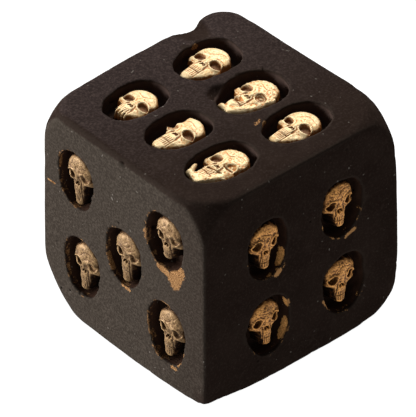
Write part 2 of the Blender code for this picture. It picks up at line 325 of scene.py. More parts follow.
def sculpt_body():
    h = 0.115
    reach = SIDE / 2 + 0.5
    n = int(round(2 * reach / h)) + 1
    line = (np.arange(n) * h - reach).astype(np.float32)
    X, Y, Z = line[:, None, None], line[None, :, None], line[None, None, :]
    # straight edges, lightly broken
    r = 0.20
    inner = SIDE / 2 - r
    qx, qy, qz = np.abs(X) - inner, np.abs(Y) - inner, np.abs(Z) - inner
    D = (
        np.sqrt(np.maximum(qx, 0) ** 2 + np.maximum(qy, 0) ** 2 + np.maximum(qz, 0) ** 2)
        + np.minimum(np.maximum(np.maximum(qx, qy), qz), 0)
        - r
    )
    origin = np.array([-reach] * 3)

    def block(low, high):
        """Index slices of the grid between two corners (mm)."""
        a = np.clip(np.floor((np.minimum(low, high) - origin) / h).astype(int), 0, n)
        b = np.clip(np.ceil((np.maximum(low, high) - origin) / h).astype(int) + 1, 0, n)
        return tuple(slice(int(i), int(j)) for i, j in zip(a, b))

    def coords(sl):
        return [line[sl[0]][:, None, None], line[sl[1]][None, :, None], line[sl[2]][None, None, :]]

    # corners rounded by balls
    half = n // 2
    for signs, (rho, stand, soft) in CORNER_ROUND.items():
        sl = tuple(slice(half, n) if k > 0 else slice(0, half) for k in signs)
        px, py, pz = (k * c for k, c in zip(signs, coords(sl)))
        start = SIDE / 2 - rho
        q = np.sqrt(
            np.maximum(px - start, 0) ** 2 + np.maximum(py - start, 0) ** 2 + np.maximum(pz - start, 0) ** 2
        )
        away = np.maximum(start - np.minimum(np.minimum(px, py), pz), 0)
        D[sl] = smax(D[sl], q - math.sqrt(2) * rho * stand - 0.35 * away, soft)

    # a long shallow dent in the back left top edge
    sl = block(np.array([-10.5, 1.5, 6.0]), np.array([-6.0, 9.0, 10.5]))
    x, y, z = coords(sl)
    run = y - DENT_AT
    along = np.exp(-((run / np.where(run < 0, 1.55, 0.85)) ** 2))
    around = np.exp(-(((x + 10) / 2.2) ** 2 + ((z - 10) / 2.2) ** 2))
    D[sl] += DENT_DEEP * along * around

    # the bottom edges and the far right edge bow out a little
    bow = np.exp(-(((X + 1.2) / 6.8) ** 4)) * np.exp(-(((Y + 10) / 3.0) ** 2 + ((Z + 10) / 4.0) ** 2))
    D -= 0.23 * bow
    bow = np.exp(-((Y / 6.5) ** 4)) * np.exp(-(((X - 10) / 3.0) ** 2 + ((Z + 10) / 4.0) ** 2))
    D -= 0.17 * bow
    D += 0.20 * np.exp(-(((Y + 9.0) / 2.4) ** 2)) * np.exp(-(((X - 10) / 2.0) ** 2 + ((Z + 10) / 3.0) ** 2))
    bow = np.exp(-(((Z + 1.0) / 6.5) ** 4)) * np.exp(-(((X - 10) / 3.0) ** 2 + ((Y - 10) / 3.0) ** 2))
    D -= 0.13 * bow

    # hand-cast unevenness, only near the surface
    near = np.nonzero(np.abs(D) < 0.45)
    x, y, z = (line[i] for i in near)
    uneven = (
        0.050 * lattice_noise(x, y, z, 4.3, 11)
        + 0.022 * lattice_noise(x, y, z, 1.7, 12)
        + 0.013 * lattice_noise(x, y, z, 0.62, 13)
        + 0.007 * lattice_noise(x, y, z, 0.31, 14)
    )
    D[near] += uneven

    # chips and pits
    def carve(c, r, k=0.15, lean=0.0):
        c, rr = np.array(c, float), np.array(r, float)
        sl = block(c - rr - 0.6, c + rr + 0.6)
        D[sl] = smax(D[sl], -ellipsoid(coords(sl), c, r, lean), k)

    for c, r in (
        ((-8.2, -10.05, -3.4), (0.20, 0.16, 0.16)),
        ((0.1, -10.05, 9.60), (0.34, 0.28, 0.27)),  # pits, top of the five
        ((3.1, -10.1, 7.5), (0.30, 0.12, 0.14)),
    ):
        carve(c, r, 0.10)
    rng = np.random.RandomState(5)
    for _ in range(90):
        face = list(FACES)[rng.randint(6)]
        u, v = rng.uniform(-9, 9, 2)
        size = rng.uniform(0.06, 0.15)
        carve(face_point(face, u, v, 0.01), (size, size, size), 0.06)
    # small chips along the crisp edges
    for _ in range(20):
        a = rng.randint(3)
        p = rng.choice([-1, 1], 3) * (SIDE / 2 + 0.02)
        p = p.astype(float)
        p[a] = rng.uniform(-6, 6)
        r = rng.uniform(0.04, 0.09, 3)
        r[a] *= 2.0
        carve(p, tuple(r), 0.12)

    # the pockets
    for index, (name, (face, u0, v0, wide, high, notch_side, notch_v)) in enumerate(POCKETS.items()):
        low = face_point(face, u0 - wide / 2 - 1.2, v0 - high / 2 - 1.0, -POCKET_DEPTH - 0.5)
        top = face_point(face, u0 + wide / 2 + 1.2, v0 + high / 2 + 1.0, 0.6)
        sl = block(low, top)
        P = coords(sl)
        (ua, us), (va, vs), (wa, ws) = FACES[face]
        u, v, w = us * P[ua] - u0, vs * P[va] - v0, ws * P[wa] - SIDE / 2
        edge = outline_distance(u, v, wide, high, notch_side, notch_v, 100 + index)
        edge = edge + 0.045 * (w + POCKET_DEPTH)  # slight draft
        bu, bv, bw = np.broadcast_arrays(u, v, w)
        rough = 0.050 * lattice_noise(bu, bv, bw, 0.55, 40 + index) + 0.025 * lattice_noise(
            bu, bv, bw, 0.24, 70 + index
        )
        pocket = smax(edge + rough, -(w + POCKET_DEPTH) + rough * 0.7, 0.35)
        D[sl] = smax(D[sl], -pocket, 0.04)
    # a shallow dent beside the back middle pocket
    carve(face_point("six", -1.35, 1.55, 0.25), (1.05, 1.25, 0.85), 0.25)

    points, tris, quads = polygonise(D, origin, h, 0.004)
    bend = np.clip(sample(laplacian(D, h), origin, h, points) * 0.25, -1, 1)
    depth, lip = np.zeros(len(points)), np.zeros(len(points))
    for index, (name, (face, u0, v0, wide, high, notch_side, notch_v)) in enumerate(POCKETS.items()):
        (ua, us), (va, vs), (wa, ws) = FACES[face]
        u, v, w = us * points[:, ua] - u0, vs * points[:, va] - v0, ws * points[:, wa] - SIDE / 2
        edge = outline_distance(u, v, wide, high, notch_side, notch_v, 100 + index)
        inside = edge < 0.14
        if face in ("five", "four"):  # paint left on the pocket's lip, mostly on its left
            traces = np.exp(-((np.clip(edge, -9, 9) / 0.10) ** 2)) * ((w > -0.50) & (w < 0.4))
            traces = traces * ((np.abs(u) < wide / 2 + 0.8) & (np.abs(v) < high / 2 + 0.5))
            lip = np.maximum(lip, traces * (np.where(u < 0.4, 1.0, 0.5) if face == "five" else np.where(v < -1, 0.75, 0.45)))
        inside &= (np.abs(u) < wide / 2 + 1.2) & (np.abs(v) < high / 2 + 1.0) & (w > -POCKET_DEPTH - 0.3)
        depth = np.where(inside, np.maximum(depth, np.clip(-w / POCKET_DEPTH, 0, 1)), depth)
    normals = warp_normals(points, grid_normals(D, origin, h, points))
    world = to_world(points)
    world[:, 2] = np.maximum(world[:, 2], 0.0)
    body = mesh_object("die_body_cast", world, tris, quads, normals, {"bend": bend, "sunk": depth, "lip": lip})
    for axis, key in enumerate(("cube_x", "cube_y", "cube_z")):
        a = body.data.attributes.new(key, "FLOAT", "POINT")
        a.data.foreach_set("value", points[:, axis].astype(np.float32))
    return body


# ------------------------------------------------------------------ the skulls
# node: width, height, rise in the pocket (mm), jaw width, jaw length, lean,
#   left eye, right eye (1 open, 0 filled, between for a shallow one), extras
SKULLS = {
    "skull_six_back_left": (1.02, 1.03, -0.20, 1.00, 1.15, 2, 1.0, 0.9, ()),
    "skull_six_back_middle": (1.02, 1.08, -0.05, 1.10, 0.80, -6, 1.0, 0.25, ("swirl", "hollow_jaw", "spill_right")),
    "skull_six_back_right": (0.98, 1.02, -0.20, 0.90, 1.15, 2, 1.1, 0.9, ("slant",)),
    "skull_six_front_left": (1.00, 0.95, -0.15, 1.12, 0.55, -2, 1.0, 0.8, ("broken_jaw",)),
    "skull_six_front_middle": (1.00, 1.03, 0.05, 1.10, 1.05, 0, 0.5, 1.0, ("no_left",)),
    "skull_six_front_right": (1.00, 1.08, 0.05, 1.10, 1.05, -4, 1.0, 0.1, ("slash", "spill_both")),
    "skull_five_upper_left": (0.96, 0.94, 0.10, 0.86, 1.45, 2, 1.0, 0.15, ("turned",)),
    "skull_five_lower_left": (0.97, 0.97, 0.05, 0.88, 1.28, 0, 1.1, 0.15, ("turned",)),
    "skull_five_middle": (0.97, 0.96, 0.05, 0.90, 1.38, -1, 1.0, 0.18, ("turned",)),
    "skull_five_upper_right": (0.97, 0.90, 0.10, 0.95, 0.80, 1, 1.1, 0.15, ("turned",)),
    "skull_five_lower_right": (0.97, 0.97, 0.05, 0.95, 1.30, -2, 0.9, 0.30, ("turned",)),
    "skull_four_upper_left": (0.96, 0.96, 0.05, 0.82, 0.98, -3, 1.0, 0.7, ("high",)),
    "skull_four_upper_right": (0.98, 0.96, 0.05, 0.84, 0.98, 1, 1.1, 0.9, ("high",)),
    "skull_four_lower_left": (0.96, 0.97, 0.05, 0.80, 1.03, 2, 0.9, 0.9, ("high",)),
    "skull_four_lower_right": (0.97, 0.96, 0.05, 0.86, 1.00, -3, 1.1, 0.6, ("high",)),
    "skull_three_upper": (0.98, 0.97, 0.00, 0.95, 1.05, 3, 1.0, 0.9, ()),
    "skull_three_middle": (0.97, 0.98, 0.00, 0.92, 1.03, -2, 1.0, 1.0, ("slant",)),
    "skull_three_lower": (0.97, 0.97, 0.00, 1.00, 1.05, 1, 0.9, 1.1, ()),
    "skull_two_upper": (0.98, 0.98, 0.00, 0.90, 1.03, -1, 1.1, 0.8, ()),
    "skull_two_lower": (0.98, 0.97, 0.00, 1.05, 0.60, 2, 1.0, 1.0, ("broken_jaw",)),
    "skull_one": (1.00, 1.00, 0.00, 0.95, 1.08, -1, 1.0, 1.0, ()),
}


def ease(t):
    t = np.clip(t, 0, 1)
    return t * t * (3 - 2 * t)


def skull_relief(x, y, look, seed, deep):
    """Front surface height and wash of a skull in relief; x right, y up, mm."""
    jaw_w, jaw_l, _lean, left, right, extras = look[3:]
    rng = np.random.RandomState(seed)

    def j(amount=0.04):
        return float(rng.uniform(-amount, amount))

    p = (x, y, 0 * x)
    # outline: a round braincase, flared cheeks and a narrow jaw under them
    low = -0.55 - 1.25 * jaw_l
    flat = deep < 0.6
    form = 0.48 if flat else 0.75
    head = ellipsoid(p, (j(0.03), 0.72, 0), (1.58 + j(), 1.50, 1))
    pinch = np.exp(-(((y - 0.62) / 0.30) ** 2)) * 0.07
    high = 0.10 if "high" in extras else 0.0
    cheeks = capsule(p, (-1.36 + high, -0.10 + high + j(), 0), (1.36, -0.12 + j(), 0), 0.35 - 0.5 * high)
    jaw = capsule(p, (0, -0.45, 0), (j(0.06), low, 0), 0.88 * jaw_w, 0.58 * jaw_w)
    if flat:  # heads turned a little, the jaw on the right of the face
        cheeks = capsule(p, (-1.12, -0.26 + j(), 0), (1.34, -0.12 + j(), 0), 0.34)
        jaw = capsule(p, (0.10, -0.55, 0), (0.20 + j(0.06), low - 0.08, 0), 0.68 * jaw_w, 0.60 * jaw_w)
    out = smin(smin(head + pinch, cheeks, 0.12), jaw, 0.08)
    if flat:  # the jaw's right side is cast flush with the cheek
        out = smin(out, capsule(p, (0.58, max(low, -1.75), 0), (1.22, -0.45, 0), 0.40, 0.46), 0.15)
    if "no_left" in extras:
        out = smax(out, -0.80 - x - 0.10 * np.sin(4.0 * y), 0.10)
        out = smin(out, capsule(p, (-1.00, 0.02, 0), (-0.5, -0.15, 0), 0.22, 0.25), 0.08)
        out = smax(out, ease((-0.45 - y) / 0.3) * 0.9 - 1.40 - x, 0.10)
    if "broken_jaw" in extras:
        fray = 0.16 * np.sin(19 * x + 1.3) + 0.09 * np.sin(41 * x)
        out = smax(out, (low - 0.38 + fray) - y, 0.05)

    ax = np.abs(x)
    xs = x - (0.14 if flat else 0.0)  # across the nose and mouth
    front = -0.13 - form * (0.40 * (x / 1.5) ** 2 + 0.36 * np.maximum((y - 0.95) / 1.25, 0) ** 2)
    below = ease((0.60 - y) / 0.30)
    front -= (0.03 if flat else 0.13) * below * (1 - 0.25 * np.exp(-((xs / 0.30) ** 2)))
    muzzle = np.exp(-((xs / (0.72 * jaw_w)) ** 4)) * ease((-0.25 - y) / 0.45)
    front += form * muzzle * (0.16 - 0.14 * np.clip(-(y + 1.3), 0, 1))
    # brow, nose bridge, cheekbones and chin stand out
    brow = 0.72 - 0.06 * (ax - 0.8) + (0.10 * x if "slant" in extras else 0)
    front += 0.11 * form * np.exp(-(((y - brow) / 0.17) ** 2)) * np.exp(-(((ax - 0.75) / 0.72) ** 4))
    front += 0.17 * form * np.exp(-((xs / 0.17) ** 2)) * ease((0.75 - y) / 0.25) * ease((y + 0.28) / 0.20)
    front += 0.15 * form * np.exp(-(((ax - 1.12) / 0.45) ** 2) - ((y + 0.24) / 0.20) ** 2)
    front += 0.10 * form * np.exp(-((xs / 0.42) ** 2) - ((y - low + 0.10) / 0.20) ** 2)
    # worn seams across the forehead
    seam = np.sin(3.1 * x + 1.1 * y + seed) * 0.22 + 1.35 + 0.25 * x
    front -= 0.035 * np.exp(-(((y - seam) / 0.06) ** 2)) * np.exp(-((x / 0.9) ** 2))

    wash = np.zeros_like(front)
    for side, open_ in ((-1, left), (1, right)):
        lean = (-10 if flat else 12) * side + j(5)
        rx, ry = (0.53, 0.42) if flat else ((0.38, 0.43) if "high" in extras else (0.45, 0.45))
        if "slant" in extras and side < 0:
            lean, rx, ry = -24, 0.48, 0.34
        ex, ey = side * (0.66 if side < 0 and "turned" in extras else 0.87) + j(0.03), 0.36 + high + j()
        if flat:
            ex, ey = (-0.78 if side < 0 else 0.93) + j(0.03), (0.16 if side < 0 else 0.28) + j()
        e = ellipsoid(p, (ex, ey, 0), (rx * (0.75 + 0.25 * open_), ry, 1), lean)
        front += (0.04 if flat else 0.09) * np.exp(-(((e - 0.10) / 0.09) ** 2)) * min(open_ + 0.3, 1)
        cut = ease((0.06 - e) / 0.15)
        front -= (0.06 + 0.48 * open_ * deep) * cut
        if open_ > 0.2:
            wash = np.maximum(wash, ease((0.04 - e) / 0.10) * min(1, open_ + 0.2))
    for side in (-1, 1):
        e = ellipsoid((xs, y, 0 * x), (side * 0.125 + j(0.02), -0.38 + j(0.03), 0), (0.10, 0.19, 1), side * 20)
        front -= 0.30 * deep * ease((0.05 - e) / 0.10)
        wash = np.maximum(wash, ease((0.03 - e) / 0.07))
    # creases beside the nose
    for side in (-1, 1):
        e = capsule((xs, y, 0 * x), (side * 0.40, -0.20, 0), (side * 0.55 * jaw_w, -0.85, 0), 0.02)
        front -= 0.07 * np.exp(-((e / 0.06) ** 2))
        wash = np.maximum(wash, 0.5 * np.exp(-((e / 0.05) ** 2)))
    # teeth and the bite
    rows = ease((-0.88 - y) / 0.12) * ease((y - low + 0.15) / 0.15)
    for k in range(-3, 4):
        groove = np.exp(-(((xs - 0.19 * k * jaw_w - j(0.02)) / 0.033) ** 2)) * rows
        front -= 0.055 * groove
        wash = np.maximum(wash, 0.55 * groove)
    if "broken_jaw" not in extras:
        bite = np.exp(-(((y + 1.38 + 0.10 * x * x + j(0.04)) / 0.050) ** 2)) * ease((0.62 * jaw_w - np.abs(xs)) / 0.1)
        front -= 0.09 * bite
        wash = np.maximum(wash, 0.9 * bite)
    if "swirl" in extras:
        for k in range(2):
            e = np.abs(ellipsoid(p, (0.88, 0.32, 0), (0.20 + 0.24 * k, 0.17 + 0.20 * k, 1)))
            front -= 0.07 * np.exp(-((e / 0.06) ** 2))
            wash = np.maximum(wash, 0.5 * np.exp(-((e / 0.05) ** 2)))
    if "slash" in extras:
        for a, b, ra, much in (((0.45, 0.02, 0), (1.25, 0.16, 0), 0.05, 0.45), ((-0.25, -0.92, 0), (0.95, -0.62, 0), 0.11, 1.0)):
            e = capsule(p, a, b, ra, 0.03)
            front -= 0.26 * much * ease((0.08 - e) / 0.14)
            wash = np.maximum(wash, much * ease((0.04 - e) / 0.09))

    # paint lumps and casting roughness
    bump = lattice_noise(x + 0.7, y, 0 * x + 0.3, 0.50, seed)
    bump2 = lattice_noise(x, y + 0.7, 0 * x + 0.3, 0.24, seed + 1)
    bump3 = lattice_noise(x, y, 0 * x + 0.3, 0.12, seed + 2)
    front += (0.020 if flat else 0.035) * bump + (0.016 if flat else 0.034) * bump2 + (0.010 if flat else 0.022) * bump3
    out = out + 0.045 * bump + 0.045 * bump2 + 0.025 * bump3
    shoulder = 0.13 * np.exp(-np.maximum(-out, 0) / 0.07) if flat else 0.26 * np.exp(-np.maximum(-out, 0) / 0.10)
    height = front - shoulder - (7.0 if flat else 6.0) * np.maximum(out, 0)
    rim = ease((out + 0.16) / 0.16)
    return np.maximum(height, -(POCKET_DEPTH + 0.5)), wash, rim


def skull_field(p, look, seed, deep):
    """Solid field over skull coordinates: x right, y up, z out of the face."""
    extras = look[8]
    x, y = np.broadcast_arrays(p[0][:, :, 0], p[1][:, :, 0])
    height, wash, rim = skull_relief(x, y, look, seed, deep)
    step = float(p[0][1, 0, 0] - p[0][0, 0, 0])
    gx, gy = np.gradient(height, step)
    fall = 1 / np.sqrt(1 + gx * gx + gy * gy)
    d = ((p[2] - height[:, :, None]) * fall[:, :, None]).astype(np.float32)
    if "hollow_jaw" in extras:
        d = smax(d, -ellipsoid(p, (-0.15, -1.10, -0.15), (0.55, 0.30, 0.42), 12), 0.1)
        d = smax(d, -capsule(p, (-0.9, -1.72, -0.5), (0.30, -1.70, -0.35), 0.20), 0.08)
    if "spill_right" in extras:
        d = smin(d, capsule(p, (-0.45, -2.42, -0.50), (0.70, -2.40, -0.40), 0.26, 0.36), 0.15)
        d = smin(d, capsule(p, (0.75, -2.35, -0.45), (1.35, -1.0, -0.60), 0.36, 0.30), 0.2)
        d = smin(d, capsule(p, (1.35, -1.0, -0.60), (1.60, 0.9, -0.55), 0.28, 0.20), 0.2)
    if "spill_both" in extras:
        d = smin(d, capsule(p, (-1.50, -1.30, -0.55), (-0.85, -2.20, -0.42), 0.18, 0.26), 0.15)
        d = smin(d, capsule(p, (-0.85, -2.20, -0.42), (0.50, -2.40, -0.40), 0.28, 0.36), 0.2)
        d = smin(d, capsule(p, (0.50, -2.30, -0.45), (1.25, -0.8, -0.55), 0.38, 0.34), 0.25)
    if extras and ("spill_right" in extras or "spill_both" in extras):
        band = np.nonzero(np.abs(d) < 0.2)
        x, y, z = (np.broadcast_to(a, d.shape)[band] for a in p)
        d[band] += 0.025 * lattice_noise(x, y, z, 0.24, seed + 3) + 0.014 * lattice_noise(x, y, z, 0.12, seed + 4)
    d = smax(d, p[2] + 0.05, 0.06)
    d = smax(d, -(p[2] + POCKET_DEPTH + 0.06), 0.03)
    return d, wash, rim


def sculpt_skull(index, name):
    face, u0, v0, wide, high, *_rest = POCKETS[name]
    look = SKULLS[name]
    hidden = face in ("one", "two", "three")
    h = 0.060 if hidden else 0.050
    low = np.array([-2.15, -3.05, -POCKET_DEPTH - 0.2])
    high_c = np.array([2.15, 2.45, 0.12])
    axes = [np.arange(a, b + h, h).astype(np.float32) for a, b in zip(low, high_c)]
    X, Y, Z = axes[0][:, None, None], axes[1][None, :, None], axes[2][None, None, :]
    seed = 300 + 10 * index
    d, wash, rim = skull_field((X, Y, Z), look, seed, 0.5 if face == "six" else 1.0)
    points, tris, quads = polygonise(d, low, h, 0.03 if hidden else 0.015)
    normals = grid_normals(d, low, h, points)
    over = np.round((points[:, :2] - low[:2]) / h).astype(int)
    over = np.clip(over, 0, np.array(wash.shape) - 1)
    sockets, edge = wash[over[:, 0], over[:, 1]], rim[over[:, 0], over[:, 1]]
    bend = np.clip(sample(laplacian(d, h), low, h, points) * 0.10, -1, 1)
    sunk = np.clip(-points[:, 2] / POCKET_DEPTH, 0, 1.2)
    # lean and size, then into the pocket
    t = math.radians(look[5])
    turn = np.array([[math.cos(t), -math.sin(t), 0], [math.sin(t), math.cos(t), 0], [0, 0, 1]])
    size = np.array([look[0], look[1], 1.0])
    local = (points * size) @ turn.T + np.array([0.0, look[2], 0.0])
    normals = (normals / size) @ turn.T
    (ua, us), (va, vs), (wa, ws) = FACES[face]
    cube = np.zeros_like(local)
    cube[:, ua] = us * (local[:, 0] + u0)
    cube[:, va] = vs * (local[:, 1] + v0)
    cube[:, wa] = ws * (SIDE / 2 + local[:, 2])
    n = np.zeros_like(normals)
    n[:, ua], n[:, va], n[:, wa] = us * normals[:, 0], vs * normals[:, 1], ws * normals[:, 2]
    world = to_world(cube)
    world[:, 2] = np.maximum(world[:, 2], 0.00002)
    thing = mesh_object(
        name + "_sculpt", world, tris, quads, warp_normals(cube, n),
        {"wash": sockets, "rim": edge, "bend": bend, "sunk": sunk},
    )
    return thing


# ------------------------------------------------------------------ materials
class Nodes:
    def __init__(self, name):
        self.material = bpy.data.materials.new(name)
        self.material.use_nodes = True
        self.tree = self.material.node_tree
        self.shader = self.tree.nodes["Principled BSDF"]
        coord = self.tree.nodes.new("ShaderNodeTexCoord")
        self.position = coord.outputs["Object"]

    def link(self, a, b):
        self.tree.links.new(a, b)

    def _feed(self, socket, value):
        if isinstance(value, bpy.types.NodeSocket):
            self.link(value, socket)
        elif value is not None:
            socket.default_value = value

    def noise(self, scale, detail=2.0, rough=0.5, offset=0.0):
        node = self.tree.nodes.new("ShaderNodeTexNoise")
        node.noise_dimensions = "4D"
        node.inputs["W"].default_value = offset
        node.inputs["Scale"].default_value = scale
        node.inputs["Detail"].default_value = detail
        node.inputs["Roughness"].default_value = rough
        self.link(self.position, node.inputs["Vector"])
        return node.outputs["Fac"]

    def attribute(self, name):
        node = self.tree.nodes.new("ShaderNodeAttribute")
        node.attribute_name = name
        return node.outputs["Fac"]

    def math(self, operation, a, b=None, c=None, clamp=False):
        node = self.tree.nodes.new("ShaderNodeMath")
        node.operation = operation
        node.use_clamp = clamp
        for socket, value in zip(node.inputs, (a, b, c)):
            self._feed(socket, value)
        return node.outputs[0]

    def ramp(self, value, low, high, out_low=0.0, out_high=1.0):
        node = self.tree.nodes.new("ShaderNodeMapRange")
        node.interpolation_type = "SMOOTHSTEP"
        for key, v in (("From Min", low), ("From Max", high), ("To Min", out_low), ("To Max", out_high)):
            node.inputs[key].default_value = v
        self._feed(node.inputs["Value"], value)
        return node.outputs["Result"]

    def mix(self, factor, a, b):
        node = self.tree.nodes.new("ShaderNodeMix")
        node.data_type = "RGBA"
        self._feed(node.inputs[0], factor)
        for socket, value in ((node.inputs[6], a), (node.inputs[7], b)):
            if isinstance(value, tuple):
                value = (*value, 1.0)
            self._feed(socket, value)
        return node.outputs[2]

    def bump(self, height, strength, distance, under=None):
        node = self.tree.nodes.new("ShaderNodeBump")
        node.inputs["Strength"].default_value = strength
        node.inputs["Distance"].default_value = distance
        self._feed(node.inputs["Height"], height)
        if under is not None:
            self.link(under, node.inputs["Normal"])
        return node.outputs["Normal"]

    def vector(self, x, y, z):
        node = self.tree.nodes.new("ShaderNodeCombineXYZ")
        for socket, value in zip(node.inputs, (x, y, z)):
            self._feed(socket, value)
        return node.outputs[0]

    def vmath(self, operation, a, b=None, scale=None):
        node = self.tree.nodes.new("ShaderNodeVectorMath")
        node.operation = operation
        self._feed(node.inputs[0], a)
        if b is not None:
            self._feed(node.inputs[1], b)
        if scale is not None:
            self._feed(node.inputs["Scale"], scale)
        return node.outputs["Value"] if operation in ("LENGTH", "DOT_PRODUCT") else node.outputs["Vector"]


RESIN_DARK, RESIN_MID, RESIN_PALE = (0.0132, 0.0084, 0.0066), (0.0172, 0.0113, 0.0089), (0.034, 0.0240, 0.0195)
# Gold brushed past the skulls: face, from (u, v, depth), to (u, v, depth), radius, strength
SMEARS = (
    ("five", (4.55, 1.95, 0.0), (6.10, 1.45, 0.0), 0.34, 1.0),
    ("five", (6.10, 1.40, 0.0), (7.15, 2.70, 0.0), 0.62, 1.0),
    ("five", (6.35, 0.95, 0.0), (6.95, 2.10, 0.0), 0.55, 1.0),
    ("five", (-8.10, 5.60, 0.25), (-8.20, 4.60, 0.25), 0.20, 0.8),
    ("five", (-7.70, 3.35, 0.2), (-7.45, 2.95, 0.2), 0.22, 0.8),
    ("five", (-2.15, 0.80, 0.25), (-2.20, -0.20, 0.25), 0.20, 0.8),
    ("five", (-2.00, -0.90, 0.25), (-1.45, -2.10, 0.25), 0.24, 0.9),
    ("five", (0.05, -2.95, 0.0), (0.90, -2.95, 0.0), 0.20, 0.5),
    ("five", (-7.40, -2.70, 0.25), (-7.45, -3.60, 0.25), 0.20, 0.8),
    ("five", (-7.15, -5.30, 0.2), (-7.00, -5.80, 0.2), 0.18, 0.8),
    ("five", (7.45, -5.40, 0.0), (6.85, -7.10, 0.0), 0.26, 0.7),
    ("five", (6.20, -7.75, 0.0), (6.60, -7.75, 0.0), 0.22, 0.6),
    ("four", (-1.50, 1.90, 0.55), (-1.95, 0.65, 0.40), 0.42, 1.1),
    ("four", (-2.35, 0.45, 0.1), (-2.60, 0.20, 0.1), 0.30, 0.8),
    ("four", (-1.45, -3.20, 0.3), (-1.35, -3.70, 0.3), 0.34, 1.0),
    ("four", (-1.45, -5.50, 0.5), (-1.80, -6.80, 0.4), 0.40, 1.1),
    ("four", (2.20, 2.40, 0.0), (3.30, 0.70, 0.0), 0.16, 0.6),
    ("four", (4.60, 0.20, 0.0), (5.55, 0.55, 0.0), 0.20, 0.55),
    ("four", (2.25, -5.30, 0.0), (2.75, -6.30, 0.0), 0.16, 0.5),
    ("six", (-7.50, 4.35, 0.35), (-7.30, 4.75, 0.35), 0.34, 1.0),
    ("six", (4.00, 1.60, 0.2), (4.20, 1.30, 0.2), 0.26, 0.55),
    ("six", (3.50, 1.35, 0.0), (3.75, 0.75, 0.0), 0.18, 0.25),
    ("five", (-9.40, 2.62, 0.0), (-8.50, 2.66, 0.0), 0.09, 0.6),
)


